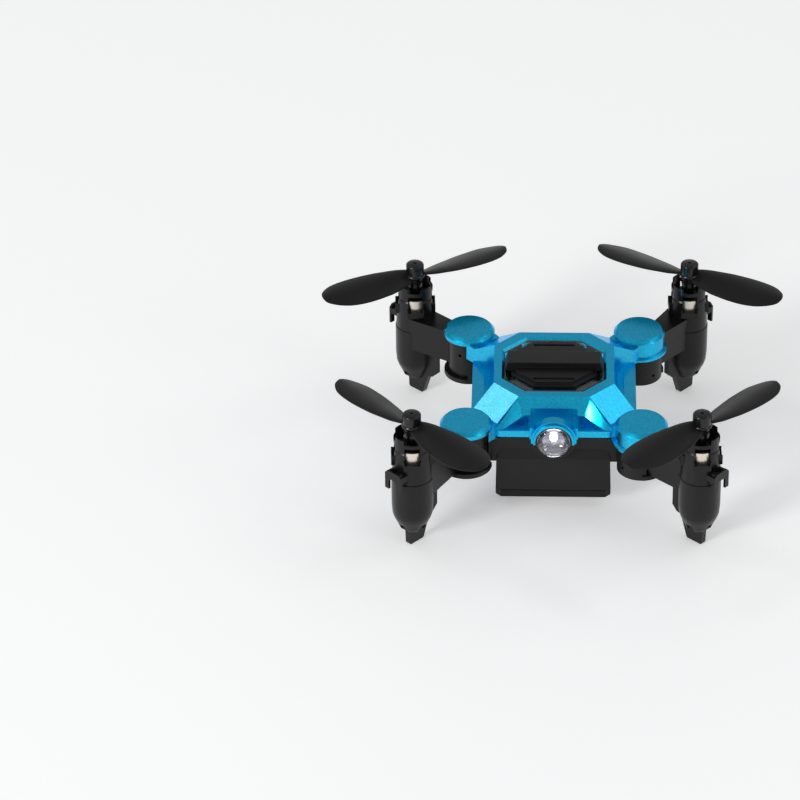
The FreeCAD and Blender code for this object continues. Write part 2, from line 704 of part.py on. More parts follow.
def power_button():
    """The oblong push button in the rear wall."""
    body = new_body("power_button")
    low = "button_level - button_height / 2"
    high = "button_level + button_height / 2"
    slab(body, rectangle("-button_half", "button_half", "13.4", "front_face"), low, high)
    slab(body, rectangle("-button_half - 0.5", "button_half + 0.5", "13.05", "13.4"), low, high)
    slab(body, rectangle("-0.6", "0.6", "9.7 + button_travel + 0.05", "13.05"), "button_level - 0.4",
         "button_level + 0.4")
    return body


def arm_outline(near, far):
    """Plan of the arm's beam, which widens on its left side towards the pod."""
    left_near = f"arm_left + arm_spread * ({near})"
    left_far = f"arm_left + arm_spread * ({far})"
    return [(near, "-arm_right"), (far, "-arm_right"), (far, left_far), (near, left_near)]


def pod_sketch(body, lift, turn):
    """A level sketch about the pod's axis, with its first axis turned from the arm's line."""
    sketch = new_sketch(body)
    sketch.AttachmentOffset = Placement(Vector(), Rotation(Vector(0, 0, 1), turn))
    sketch.setExpression("AttachmentOffset.Base.x", bound("arm_reach"))
    sketch.setExpression("AttachmentOffset.Base.z", bound(lift))
    return sketch


def ring_cuts(body, half, inner, outer, low, high, turns):
    """Cuts through the pod's wall towards each of the given angles round the pod's axis."""
    for turn in turns:
        cut = pod_sketch(body, high, turn)
        add_polygon(cut, rectangle(inner, outer, f"-({half})", half))
        extrude(body, cut, "Pocket", f"({high}) - ({low})")


DIAGONALS = (45, 135, 225, 315)

# Corners of the leg in the arm's upright plane: distance from the hinge axis, and height.
LEG_OUTLINE = [
    ("8.25", "arm_under + 0.5"),
    ("8.25", "3.2"),
    ("9.3", "2.1"),
    ("10.35", "1.9"),
    ("11.8", "leg_tip + 0.25"),
    ("12.05", "leg_tip"),
    ("15.2", "leg_tip"),
    ("15.45", "leg_tip + 0.25"),
    ("15.6", "pod_foot + 0.6"),
    ("13", "arm_under + 0.5"),
]

# Profile of the pod below the arm's seam: radius and height.
POD_PROFILE = [
    ("0", "pod_foot"),
    ("2.1", "pod_foot"),
    ("2.3", "pod_foot + 0.2"),
    ("2.85", "2.25"),
    ("3.37", "3.35"),
    ("pod_radius - 0.13", "4.3"),
    ("pod_radius", "pod_cone_top"),
    ("pod_radius", "arm_seam - seam_edge"),
    ("pod_radius - seam_edge", "arm_seam"),
    ("0", "arm_seam"),
]


def arm_lower(label):
    """Knuckle, lower half of the beam, motor pod and leg, in one moulding."""
    body = new_body(label)
    rods(body, [("0", "0")], "knuckle_radius", "arm_under", "knuckle_top")
    slab(body, arm_outline("2.5", "12.6"), "arm_under", "arm_seam")
    lathe(body, POD_PROFILE, x="arm_reach")
    leg = new_sketch(body, "XZ_Plane")
    add_polygon(leg, LEG_OUTLINE)
    extrude(body, leg, "Pad", "leg_thick", symmetric=True)
    rods(body, [("arm_reach", "0")], "pod_bore", "pod_bore_foot", "arm_seam", "Pocket")
    ring_cuts(body, "0.8", "1.9", "pod_radius", "pod_foot - 0.5", "2.4", (0, 90, 270))
    carve(body, rectangle("1", "arm_reach - 2", "-wire_half", "wire_half"), "wire_low", "arm_seam")
    carve(body, rectangle("arm_reach - wire_outer", "arm_reach - 2", "-wire_half", "wire_half"),
          "can_foot - 0.6", "arm_seam")
    radial_hole(body, "0", "0", KNUCKLE_DIMPLE_ANGLE, "arm_under + 4.6", "0.32", "knuckle_radius - 0.5",
                "knuckle_radius + 0.5")
    rods(body, [("0", "0")], "pivot_bore", "arm_under", "knuckle_top", "Pocket")
    return body


def guard_clip(body):
    """The band that stands off the pod's outer side on two webs, for hooking on a propeller guard."""
    inner = "clip_half - clip_band"
    under = "clip_top - 1.7"
    band = new_sketch(body, "YZ_Plane", lift="arm_reach + clip_gap")
    add_polygon(band, [("-clip_half", "clip_low"), (f"-({inner})", "clip_low"),
                       (f"-({inner})", f"{under} - 0.4"), (f"0.4 - ({inner})", under),
                       (f"{inner} - 0.4", under), (inner, f"{under} - 0.4"), (inner, "clip_low"),
                       ("clip_half", "clip_low"),
                       ("clip_half", "clip_top - 0.6"), ("clip_half - 0.6", "clip_top"),
                       ("0.6 - clip_half", "clip_top"), ("-clip_half", "clip_top - 0.6")])
    extrude(body, band, "Pad", "clip_outer - clip_gap")
    for side in ("", "-"):
        web = rectangle("arm_reach + 2.8", "arm_reach + clip_outer - 0.1", f"{side}(clip_half - 0.55)",
                        f"{side}clip_half")
        slab(body, web, "clip_top - 1.8", "clip_top - 0.6")


def arm_upper(label):
    """Upper half of the beam and pod, with four windows, a notched crown and the guard clip."""
    body = new_body(label)
    slab(body, arm_outline("2.5", "12.6"), "arm_seam", "arm_top")
    lathe(body, [("0", "arm_seam"), ("pod_radius - seam_edge", "arm_seam"),
                 ("pod_shoulder_radius", "pod_shoulder"), ("crown_radius", "pod_shoulder + 0.3"),
                 ("crown_radius", "crown_top"), ("0", "crown_top")],
          x="arm_reach")
    for turn in DIAGONALS:
        sill = pod_sketch(body, "window_low - 1.1", turn)
        add_polygon(sill, rectangle("2", "pod_radius", "-window_half - 0.2", "window_half + 0.2"))
        extrude(body, sill, "Pad", "1.9")
    guard_clip(body)
    rods(body, [("arm_reach", "0")], "pod_bore", "arm_seam", "crown_top", "Pocket")
    wall = ("pod_bore - 0.5", "pod_radius + 0.5")
    ring_cuts(body, "window_half", *wall, "window_low", "window_high", DIAGONALS)
    ring_cuts(body, "window_half + 0.1", *wall, "crown_notch", "crown_top", DIAGONALS)
    carve(body, rectangle("1", "arm_reach - 2", "-wire_half", "wire_half"), "arm_seam", "wire_high")
    rods(body, [("0", "0")], "knuckle_radius + 0.02", "arm_seam", "arm_top", "Pocket")
    return body


def motor_can(label):
    """The motor's steel can with its bearing boss."""
    body = new_body(label)
    lathe(body, [("shaft_radius + 0.05", "can_top - 0.5"), ("2.7", "can_top - 0.5"), ("2.7", "can_foot"),
                 ("can_radius", "can_foot"), ("can_radius", "can_top - 0.2"),
                 ("can_radius - 0.2", "can_top"), ("0.95", "can_top"), ("0.95", "can_top + 0.5"),
                 ("shaft_radius + 0.05", "can_top + 0.5")], x="arm_reach")
    return body


def motor_magnet(label):
    """The fixed magnet inside the winding."""
    body = new_body(label)
    lathe(body, [("shaft_radius + 0.05", "can_foot + 1.6"), ("1.6", "can_foot + 1.6"),
                 ("1.6", "can_top - 0.5"), ("shaft_radius + 0.05", "can_top - 0.5")], x="arm_reach")
    return body


def motor_endcap(label):
    """The plastic end of the motor that holds its brushes and leads."""
    body = new_body(label)
    lathe(body, [("0", "can_foot - 0.7"), ("2.7", "can_foot - 0.7"), ("2.95", "can_foot - 0.4"),
                 ("2.95", "can_foot"), ("2.65", "can_foot"), ("2.65", "can_foot + 0.5"),
                 ("0", "can_foot + 0.5")], x="arm_reach")
    return body


def motor_leads(label):
    """Two insulated leads from the motor's foot up the pod's wall and along the arm to the knuckle."""
    body = new_body(label)
    outer = "arm_reach - wire_outer + 0.07"
    for y in ("wire_thick", "-wire_thick"):
        sides = (f"{y} - wire_thick / 2", f"{y} + wire_thick / 2")
        slab(body, rectangle(outer, f"{outer} + wire_thick", *sides), "can_foot - 0.6", "arm_seam - 0.8")
        slab(body, rectangle("2.4", f"{outer} + wire_thick", *sides), "arm_seam - 0.8", "arm_seam - 0.4")
    return body


def rotor_shaft(label):
    """The motor's steel shaft."""
    body = new_body(label)
    rods(body, [("arm_reach", "0")], "shaft_radius", "can_foot + 0.6", "hub_top - 0.6")
    return body


def rotor_winding(label):
    """The bell-shaped winding and its commutator, which turn with the shaft."""
    body = new_body(label)
    lathe(body, [("shaft_radius", "can_foot + 0.7"), ("0.9", "can_foot + 0.7"), ("0.9", "can_foot + 1.0"),
                 ("2.4", "can_foot + 1.0"), ("2.4", "can_top - 1"), ("1.85", "can_top - 1"),
                 ("1.85", "can_foot + 1.4"), ("shaft_radius", "can_foot + 1.4")], x="arm_reach")
    return body


# Stations along a blade as fractions of the propeller's radius: leading edge, trailing edge, both measured
# across the blade's line, pitch angle and thickness.
BLADE = (
    (0.05, 1.2, -1.2, 26.0, 0.95),
    (0.10, 1.7, -1.7, 22.0, 0.90),
    (0.18, 2.2, -2.3, 17.5, 0.85),
    (0.28, 2.5, -3.0, 15.5, 0.80),
    (0.38, 2.8, -3.45, 13.7, 0.72),
    (0.51, 2.93, -3.93, 12.0, 0.66),
    (0.64, 2.9, -4.17, 10.8, 0.60),
    (0.765, 2.63, -4.12, 9.5, 0.55),
    (0.867, 2.1, -3.6, 8.7, 0.48),
    (0.939, 1.2, -2.9, 8.2, 0.42),
    (0.98, 0.3, -2.2, 8.0, 0.36),
    (1.0, -0.5, -1.4, 8.0, 0.30),
)
SECTION_STEPS = 6
CAMBER = 0.05


def blade_section(radius, lead, trail, pitch, thick, hand):
    """One closed airfoil section across the blade at a radius, with its leading edge at height zero."""
    chord = lead - trail
    slope = math.tan(math.radians(pitch))
    upper = []
    lower = []
    for k in range(SECTION_STEPS + 1):
        run = k / SECTION_STEPS
        middle = CAMBER * chord * math.sin(math.pi * run) - (1 - run) * chord * slope
        half = 0.5 * thick * math.sqrt(math.sin(math.pi * (0.06 + 0.88 * run)))
        across = hand * (trail + run * chord)
        upper.append(Vector(radius, across, middle + half))
        lower.append(Vector(radius, across, middle - half))
    curve = Part.BSplineCurve()
    curve.interpolate(upper + lower[::-1], PeriodicFlag=True)
    return Part.Wire([curve.toShape()])


def solid_of_revolution(kind, name, low, height, **radii):
    """An upright Part cylinder or cone standing on a level, with its sizes bound to the sheet."""
    feature = doc.addObject("Part::" + kind, name)
    feature.setExpression("Height", bound(height))
    feature.setExpression("Placement.Base.z", bound(low))
    for prop, text in radii.items():
        feature.setExpression(prop, bound(text))
    return feature


def propeller(label, hand):
    """Two twisted blades on a hub, with the blind bore that presses onto the shaft."""
    reach = size("prop_radius")
    sections = [blade_section(part * reach, *shape, hand) for part, *shape in BLADE]
    pieces = []
    for turn in (0, 180):
        blade = doc.addObject("Part::Feature", label + "_blade")
        blade.Shape = Part.makeLoft(sections, True, False)
        blade.Placement = Placement(Vector(0, 0, size("prop_level")), Rotation(Vector(0, 0, 1), turn))
        pieces.append(blade)
    neck = "hub_foot + hub_stem"
    pieces.append(solid_of_revolution("Cone", label + "_stem", "hub_foot", "hub_stem",
                                      Radius1="0.62 * hub_radius", Radius2="hub_radius"))
    pieces.append(solid_of_revolution("Cylinder", label + "_hub", neck, f"hub_top - 0.3 - ({neck})",
                                      Radius="hub_radius"))
    pieces.append(solid_of_revolution("Cone", label + "_crown", "hub_top - 0.3", "0.3", Radius1="hub_radius",
                                      Radius2="hub_radius - 0.3"))
    whole = doc.addObject("Part::MultiFuse", label + "_whole")
    whole.Shapes = pieces
    bore = solid_of_revolution("Cylinder", label + "_bore", "hub_foot - 1", "hub_top - hub_foot + 0.4",
                               Radius="shaft_radius")
    vent = solid_of_revolution("Cylinder", label + "_vent", "hub_top - 0.8", "1", Radius="0.25")
    holes = doc.addObject("Part::MultiFuse", label + "_holes")
    holes.Shapes = [bore, vent]
    feature = doc.addObject("Part::Cut", label)
    feature.Label = label
    feature.Base = whole
    feature.Tool = holes
    return feature


def turret_place(turns):
    """Placement of an arm's own frame at rest, a number of quarter turns from the front left turret."""
    half = size("hinge_half")
    spot = Rotation(Vector(0, 0, 1), 90 * turns).multVec(Vector(-half, -half, 0))
    return Placement(spot, Rotation(Vector(0, 0, 1), 225 + size("arm_lead") + 90 * turns))


def build_arms():
    """The four arms with their motors and propellers."""
    makers = {
        "arm_lower": arm_lower,
        "arm_upper": arm_upper,
        "motor_can": motor_can,
        "motor_magnet": motor_magnet,
        "motor_endcap": motor_endcap,
        "motor_leads": motor_leads,
        "rotor_shaft": rotor_shaft,
        "rotor_winding": rotor_winding,
    }
    parts = []
    for name, turns, hand, blade_turn in TURRETS:
        place = turret_place(turns)
        for kind, maker in makers.items():
            part = maker(f"{kind}_{name}")
            part.Placement = place
            parts.append(part)
        pod = Placement(Vector(size("arm_reach"), 0, 0), Rotation(Vector(0, 0, 1), blade_turn))
        part = propeller(f"propeller_{name}", hand)
        part.Placement = place.multiply(pod)
        parts.append(part)
    return parts


def write_parts(parts):
    """Check every object and shape, then write one STEP file for each sub-part."""
    failed = [item.Label for item in doc.Objects if {"Invalid", "Error"} & set(item.State)]
    failed += [part.Label for part in parts if part.Shape.isNull() or not part.Shape.isValid()]
    if failed:
        raise SystemExit(f"these objects failed: {failed}")
    os.makedirs("parts", exist_ok=True)
    for part in parts:
        part.Shape.exportStep(os.path.join("parts", part.Label + ".step"))


PARTS = [top_shell(), bottom_shell(), top_grille(), light_guide(), main_board(), board_chips()]
PARTS += [status_leds(), battery_connector(), power_switch(), hinge_screws(), battery_case(), power_button()]
PARTS += headlamp_parts() + battery_parts() + build_arms()
doc.recompute()
write_parts(PARTS)
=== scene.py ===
import json
import math

import bmesh
import bpy
from mathutils import Matrix, Vector

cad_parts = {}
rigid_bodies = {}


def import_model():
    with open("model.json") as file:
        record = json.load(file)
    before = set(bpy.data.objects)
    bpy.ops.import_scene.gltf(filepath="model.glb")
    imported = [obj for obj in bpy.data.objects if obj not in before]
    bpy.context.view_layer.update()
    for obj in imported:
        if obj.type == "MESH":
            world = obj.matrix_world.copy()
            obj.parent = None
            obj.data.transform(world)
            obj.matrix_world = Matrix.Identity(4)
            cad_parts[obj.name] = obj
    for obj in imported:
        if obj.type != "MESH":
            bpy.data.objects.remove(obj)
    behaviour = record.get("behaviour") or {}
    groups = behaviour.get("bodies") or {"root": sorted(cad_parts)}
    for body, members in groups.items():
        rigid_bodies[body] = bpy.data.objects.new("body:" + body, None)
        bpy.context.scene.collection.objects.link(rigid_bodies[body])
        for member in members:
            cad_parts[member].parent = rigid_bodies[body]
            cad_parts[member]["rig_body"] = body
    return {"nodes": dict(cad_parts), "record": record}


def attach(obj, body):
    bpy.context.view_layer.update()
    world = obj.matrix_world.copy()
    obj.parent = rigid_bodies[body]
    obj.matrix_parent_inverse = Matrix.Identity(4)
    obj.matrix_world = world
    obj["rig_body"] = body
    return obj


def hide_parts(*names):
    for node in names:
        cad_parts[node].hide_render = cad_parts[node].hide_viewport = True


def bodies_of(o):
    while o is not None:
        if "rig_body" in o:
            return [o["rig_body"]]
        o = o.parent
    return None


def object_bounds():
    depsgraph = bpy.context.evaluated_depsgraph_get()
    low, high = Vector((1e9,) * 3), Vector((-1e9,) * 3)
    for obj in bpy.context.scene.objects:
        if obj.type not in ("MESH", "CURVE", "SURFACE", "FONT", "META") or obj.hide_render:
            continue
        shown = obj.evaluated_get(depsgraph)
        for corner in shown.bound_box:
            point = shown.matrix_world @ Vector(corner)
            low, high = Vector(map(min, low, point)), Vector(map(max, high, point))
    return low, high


MM = 0.001
TURRETS = ("fl", "fr", "rr", "rl")

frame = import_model()
cad_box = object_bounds()
nodes = frame["nodes"]


# ---------------------------------------------------------------- camera, light and floor

# The camera's place, its turns in degrees, and its lens in millimetres.
CAMERA_PLACE = Vector((-2.554, -651.68, 433.74)) * MM
CAMERA_HEADING = 2.29
CAMERA_TILT = 32.954
CAMERA_ROLL = -0.71
CAMERA_LENS = 187.8
SENSOR = 36.0

FLOOR_LEVEL = cad_box[0].z
FLOOR_REACH = 3.0
FLOOR_COLOUR = (0.86, 0.86, 0.86)
FLOOR_GLOW = 0.3
SURROUND_COLOUR = (0.97, 0.98, 1.0)
SURROUND_STRENGTH = 0.43

# Lights: name, place in metres, width and height in metres, power in watts.
SOFTBOXES = (
    ("key_low", (-0.735, -0.713, 0.346), 0.26, 0.22, 6.2),
    ("key_high", (-0.667, 0.3, 0.886), 0.15, 0.15, 0.46),
    ("fill_low", (0.85, -0.5, 0.45), 0.4, 0.4, 1.0),
    ("fill_high", (0.68, 0.22, 0.86), 0.5, 0.5, 0.9),
    ("rim", (0.0, 1.3, 0.2), 1.3, 0.22, 1.6),
)


def make_camera():
    """The camera at the photograph's place and angle."""
    data = bpy.data.cameras.new("camera")
    data.lens = CAMERA_LENS
    data.sensor_width = SENSOR
    data.clip_start = 0.01
    data.clip_end = 20.0
    camera = bpy.data.objects.new("camera", data)
    turn = Matrix.Rotation(math.radians(CAMERA_HEADING), 4, "Z")
    tilt = Matrix.Rotation(math.radians(90 - CAMERA_TILT), 4, "X")
    roll = Matrix.Rotation(math.radians(CAMERA_ROLL), 4, "Z")
    camera.matrix_world = Matrix.Translation(CAMERA_PLACE) @ turn @ tilt @ roll
    bpy.context.scene.collection.objects.link(camera)
    bpy.context.scene.camera = camera


def softbox(name, place, width, height, watts):
    """A large soft light that faces the middle of the object."""
    data = bpy.data.lights.new(name, "AREA")
    data.shape = "RECTANGLE"
    data.size = width
    data.size_y = height
    data.energy = watts
    light = bpy.data.objects.new(name, data)
    light.location = place
    light.rotation_euler = (-Vector(place)).to_track_quat("-Z", "Y").to_euler()
    bpy.context.scene.collection.objects.link(light)


def make_lights():
    """Soft light from the front left, with a weaker fill from the right and an even pale surround."""
    scene = bpy.context.scene
    scene.view_settings.view_transform = "Standard"
    world = bpy.data.worlds.new("studio")
    world.use_nodes = True
    background = world.node_tree.nodes["Background"]
    background.inputs["Color"].default_value = (*SURROUND_COLOUR, 1.0)
    background.inputs["Strength"].default_value = SURROUND_STRENGTH
    scene.world = world
    for light in SOFTBOXES:
        softbox(*light)


def make_floor():
    """A plain pale floor under the tips of the legs, with a faint glow that keeps its shadows soft."""
    mesh = bpy.data.meshes.new("floor")
    corners = [(x * FLOOR_REACH, y * FLOOR_REACH, 0) for x, y in ((-1, -1), (1, -1), (1, 1), (-1, 1))]
    mesh.from_pydata(corners, [], [(0, 1, 2, 3)])
    floor = bpy.data.objects.new("floor", mesh)
    floor.location.z = FLOOR_LEVEL
    material, shader = principled("floor_white", FLOOR_COLOUR, 0.6, Emission_Strength=FLOOR_GLOW)
    shader.inputs["Emission Color"].default_value = (1.0, 1.0, 1.0, 1.0)
    mesh.materials.append(material)
    bpy.context.scene.collection.objects.link(floor)


# ---------------------------------------------------------------- materials


def principled(name, colour, roughness, metallic=0.0, **sockets):
    """A material with one Principled shader and its plain numbers set on the shader itself."""
    material = bpy.data.materials.new(name)
    material.use_nodes = True
    shader = material.node_tree.nodes["Principled BSDF"]
    shader.inputs["Base Color"].default_value = (*colour, 1.0)
    shader.inputs["Roughness"].default_value = roughness
    shader.inputs["Metallic"].default_value = metallic
    for socket, value in sockets.items():
        shader.inputs[socket.replace("_", " ")].default_value = value
    return material, shader


def texture(material, kind, scale, **settings):
    """A texture node in object space, with its feature size set by scale in repeats per metre."""
    tree = material.node_tree
    place = tree.nodes.new("ShaderNodeTexCoord")
    node = tree.nodes.new("ShaderNodeTex" + kind)
    node.inputs["Scale"].default_value = scale
    for socket, value in settings.items():
        node.inputs[socket].default_value = value
    tree.links.new(place.outputs["Object"], node.inputs["Vector"])
    return node


def ramp(material, source, stops):
    """A colour ramp of position and colour pairs, driven by a texture's value."""
    tree = material.node_tree
    node = tree.nodes.new("ShaderNodeValToRGB")
    elements = node.color_ramp.elements
    while len(elements) < len(stops):
        elements.new(0.5)
    for element, (place, colour) in zip(elements, stops):
        element.position = place
        element.color = (*colour, 1.0)
    tree.links.new(source, node.inputs["Fac"])
    return node


def vary(material, shader, source, socket, low, high):
    """Spread a texture's value over a socket between two numbers."""
    tree = material.node_tree
    spread = tree.nodes.new("ShaderNodeMapRange")
    spread.inputs["To Min"].default_value = low
    spread.inputs["To Max"].default_value = high
    tree.links.new(source, spread.inputs["Value"])
    tree.links.new(spread.outputs["Result"], shader.inputs[socket])


def add_bump(material, shader, source, strength, distance):
    """Fine relief from a texture's value."""
    tree = material.node_tree
    bump = tree.nodes.new("ShaderNodeBump")
    bump.inputs["Strength"].default_value = strength
    bump.inputs["Distance"].default_value = distance
    tree.links.new(source, bump.inputs["Height"])
    tree.links.new(bump.outputs["Normal"], shader.inputs["Normal"])


def flake_paint():
    """Metallic blue paint: fine flakes that differ slightly in shade, tilt and shine."""
    material, shader = principled("flake_paint", (0.0, 0.5, 0.75), 0.3, 1.0, Coat_Weight=0.55,
                                  Coat_Roughness=0.14)
    shader.inputs["Specular Tint"].default_value = (0.0, 0.6, 0.95, 1.0)
    tree = material.node_tree
    grain = texture(material, "Noise", 3600.0, Detail=2.0, Roughness=0.6)
    colours = ramp(material, grain.outputs["Fac"], [(0.3, (0.0, 0.38, 0.66)), (0.5, (0.0, 0.51, 0.83)),
                                                    (0.68, (0.0, 0.62, 0.92)), (0.8, (0.08, 0.78, 0.97))])
    tree.links.new(colours.outputs["Color"], shader.inputs["Base Color"])
    patches = texture(material, "Noise", 900.0, Detail=3.0)
    vary(material, shader, patches.outputs["Fac"], "Roughness", 0.26, 0.36)
    flakes = texture(material, "Voronoi", 4600.0)
    add_bump(material, shader, flakes.outputs["Distance"], 0.26, 0.04 * MM)
    return material


def moulded_plastic(name, colour, roughness, grain, repeats, shine):
    """Satin moulded plastic: a fine spark-eroded grain and slightly uneven shine."""
    material, shader = principled(name, colour, roughness, Specular_IOR_Level=shine)
    tree = material.node_tree
    cloud = texture(material, "Noise", 160.0, Detail=4.0)
    dark = tuple(c * 0.82 for c in colour)
    light = tuple(c * 1.25 for c in colour)
    colours = ramp(material, cloud.outputs["Fac"], [(0.3, dark), (0.7, light)])
    tree.links.new(colours.outputs["Color"], shader.inputs["Base Color"])
    vary(material, shader, cloud.outputs["Fac"], "Roughness", roughness - 0.06, roughness + 0.08)
    pits = texture(material, "Noise", repeats, Detail=2.0)
    add_bump(material, shader, pits.outputs["Fac"], grain, 0.05 * MM)
    return material


def turned_metal(name, colour, roughness, streaks):
    """Satin metal with fine level lines, as left by turning."""
    material, shader = principled(name, colour, roughness, 1.0)
    tree = material.node_tree
    lines = texture(material, "Wave", streaks, Distortion=3.0, Detail=2.0)
    lines.bands_direction = "Z"
    dark = tuple(c * 0.85 for c in colour)
    colours = ramp(material, lines.outputs["Fac"], [(0.2, dark), (0.8, colour)])
    tree.links.new(colours.outputs["Color"], shader.inputs["Base Color"])
    add_bump(material, shader, lines.outputs["Fac"], 0.05, 0.02 * MM)
    return material


# Height in millimetres above which the can's end gets painted shade, and the height over which that shade
# blends in.
CAN_PAINTED_SHADE_LEVEL = 18.48
CAN_PAINTED_SHADE_BLEND = 0.05


def can_metal():
    """The motor's nickelled can, with painted shade darkening its end above the windows."""
    material = turned_metal("can_metal", (0.86, 0.78, 0.68), 0.28, 1500.0)
    tree = material.node_tree
    shader = tree.nodes["Principled BSDF"]
    # Painted shade: from the shade level up, the can's colour is mixed to near black, standing in for the
    # shadow inside the pod's crown.
    place = tree.nodes.new("ShaderNodeTexCoord")
    split = tree.nodes.new("ShaderNodeSeparateXYZ")
    tree.links.new(place.outputs["Object"], split.inputs["Vector"])
    edge = tree.nodes.new("ShaderNodeMapRange")
    edge.inputs["From Min"].default_value = CAN_PAINTED_SHADE_LEVEL * MM
    edge.inputs["From Max"].default_value = (CAN_PAINTED_SHADE_LEVEL + CAN_PAINTED_SHADE_BLEND) * MM
    tree.links.new(split.outputs["Z"], edge.inputs["Value"])
    painted_shade_mix = tree.nodes.new("ShaderNodeMix")
    painted_shade_mix.data_type = "RGBA"
    painted_shade_mix.inputs["B"].default_value = (0.03, 0.03, 0.032, 1.0)
    tree.links.new(edge.outputs["Result"], painted_shade_mix.inputs["Factor"])
    tree.links.new(shader.inputs["Base Color"].links[0].from_socket, painted_shade_mix.inputs["A"])
    tree.links.new(painted_shade_mix.outputs["Result"], shader.inputs["Base Color"])
    return material


def polished_plastic(name, colour, roughness):
    """Polished clear plastic with a faint waviness."""
    material, shader = principled(name, colour, roughness, Transmission_Weight=1.0, IOR=1.49)
    waves = texture(material, "Noise", 250.0, Detail=1.0)
    add_bump(material, shader, waves.outputs["Fac"], 0.03, 0.1 * MM)
    return material


def glowing_lamp():
    """A lit white lamp with a slightly uneven glow."""
    material, shader = principled("glowing_lamp", (0.95, 0.95, 0.93), 0.3, Emission_Strength=6.0)
    cells = texture(material, "Noise", 900.0, Detail=1.0)
    glow = ramp(material, cells.outputs["Fac"], [(0.3, (0.85, 0.92, 1.0)), (0.7, (1.0, 1.0, 1.0))])
    material.node_tree.links.new(glow.outputs["Color"], shader.inputs["Emission Color"])
    return material


# Moulded plastics: colour, roughness, strength of the grain, its repeats per metre, and shine.
PLASTICS = {
    "shell_black": ((0.0055, 0.0055, 0.0058), 0.38, 0.06, 2600.0, 0.3),
    "grille_black": ((0.006, 0.006, 0.0065), 0.38, 0.06, 2600.0, 0.22),
    "arm_black": ((0.0028, 0.0026, 0.0025), 0.3, 0.06, 2600.0, 0.32),
    "battery_black": ((0.006, 0.006, 0.0063), 0.46, 0.06, 2600.0, 0.22),
    "button_black": ((0.01, 0.01, 0.01), 0.5, 0.06, 2600.0, 0.22),
    "connector_black": ((0.02, 0.02, 0.02), 0.5, 0.06, 2600.0, 0.22),
    "endcap_plastic": ((0.04, 0.04, 0.04), 0.5, 0.06, 2600.0, 0.22),
    "blade_black": ((0.006, 0.006, 0.0064), 0.42, 0.1, 3400.0, 0.22),
    "hub_black": ((0.004, 0.004, 0.0044), 0.24, 0.02, 2600.0, 0.42),
    "lead_insulation": ((0.4, 0.03, 0.02), 0.45, 0.06, 2600.0, 0.22),
    "board_green": ((0.01, 0.14, 0.06), 0.25, 0.06, 2600.0, 0.22),
    "chip_black": ((0.02, 0.02, 0.022), 0.5, 0.06, 2600.0, 0.22),
}

# Turned metals: colour, roughness and streaks per metre.
METALS = {
    "reflector_chrome": ((0.5, 0.47, 0.53), 0.14, 400.0),
    "magnet_grey": ((0.3, 0.3, 0.31), 0.4, 1500.0),
    "copper_wire": ((0.72, 0.36, 0.18), 0.35, 5200.0),
    "shaft_steel": ((0.7, 0.7, 0.72), 0.2, 1500.0),
    "switch_steel": ((0.6, 0.6, 0.6), 0.3, 1500.0),
    "screw_steel": ((0.3, 0.3, 0.31), 0.35, 1500.0),
    "cell_foil": ((0.75, 0.75, 0.77), 0.3, 900.0),
    "port_steel": ((0.65, 0.65, 0.66), 0.3, 1500.0),
    "contact_gold": ((0.85, 0.62, 0.25), 0.25, 1500.0),
}

MATERIALS = {
    "shell_paint": flake_paint(),
    "clear_plastic": polished_plastic("clear_plastic", (0.95, 0.98, 1.0), 0.04),
    "smoked_plastic": polished_plastic("smoked_plastic", (0.82, 0.77, 0.74), 0.07),
    "led_white": glowing_lamp(),
    "motor_metal": can_metal(),
    **{name: moulded_plastic(name, *finish) for name, finish in PLASTICS.items()},
    **{name: turned_metal(name, *finish) for name, finish in METALS.items()},
}


# ---------------------------------------------------------------- carried-over parts

# Rounding of the moulded edges, in millimetres. Other nodes keep their sharp edges.
EDGE_ROUNDING = {
    "top_shell": 0.12,
    "bottom_shell": 0.15,
    "battery_case": 0.18,
    "top_grille": 0.12,
    "headlamp_bezel": 0.08,
    "arm_lower": 0.14,
    "arm_upper": 0.12,
}
CURVE_ANGLE = math.radians(24)
FLAT_ANGLE = math.radians(0.6)
WELD_GAP = 0.002

# Nodes with openings in a flat face, which melting would tear.
PIERCED = {"battery_case"}

# Nodes whose surface differs from their slot's usual one.
NODE_FINISHES = {"light_guide": "smoked_plastic"}


def round_edges(item, width, melted):
    """Round every sharp edge of a CAD mesh, with its triangles first melted into real faces if set."""
    weld = item.modifiers.new("weld", "WELD")
    weld.merge_threshold = WELD_GAP * MM
    if melted:
        melt = item.modifiers.new("melt", "DECIMATE")
        melt.decimate_type = "DISSOLVE"
        melt.angle_limit = FLAT_ANGLE
    bevel = item.modifiers.new("round", "BEVEL")
    bevel.limit_method = "ANGLE"
    bevel.angle_limit = CURVE_ANGLE
    bevel.width = width * MM
    bevel.segments = 3
    bevel.miter_outer = "MITER_ARC"
    weight = item.modifiers.new("normals", "WEIGHTED_NORMAL")
    weight.keep_sharp = True


def dress_cad_nodes():
    """Give every CAD node its material, and the moulded ones their rounded edges."""
    slots = {part["node"]: part["material_slot"] for part in frame["record"]["subparts"]}
    for name, item in nodes.items():
        item.data.materials.clear()
        item.data.materials.append(MATERIALS[NODE_FINISHES.get(name, slots[name])])
        kind = name[:-3] if name[-2:] in TURRETS else name
        if kind in EDGE_ROUNDING:
            round_edges(item, EDGE_ROUNDING[kind], kind not in PIERCED)


# ---------------------------------------------------------------- propellers

# Driving sizes in millimetres and degrees. They are those of the CAD nodes that these pieces replace, with
# the propeller's radius a hair smaller so that the rounded tips stay inside the CAD ones.
HINGE_HALF = 16.0
ARM_REACH = 14.15
ARM_LEAD = 2.8
PROP_RADIUS = 19.53
PROP_LEVEL = 23.35
CAMBER = 0.05
EDGE_BLUNTNESS = 0.03

# Way each propeller turns and the angle of its blades to the arm.
PROPELLERS = {"fl": (1, 89.5), "fr": (-1, 84.0), "rr": (1, -74.2), "rl": (-1, 68.7)}

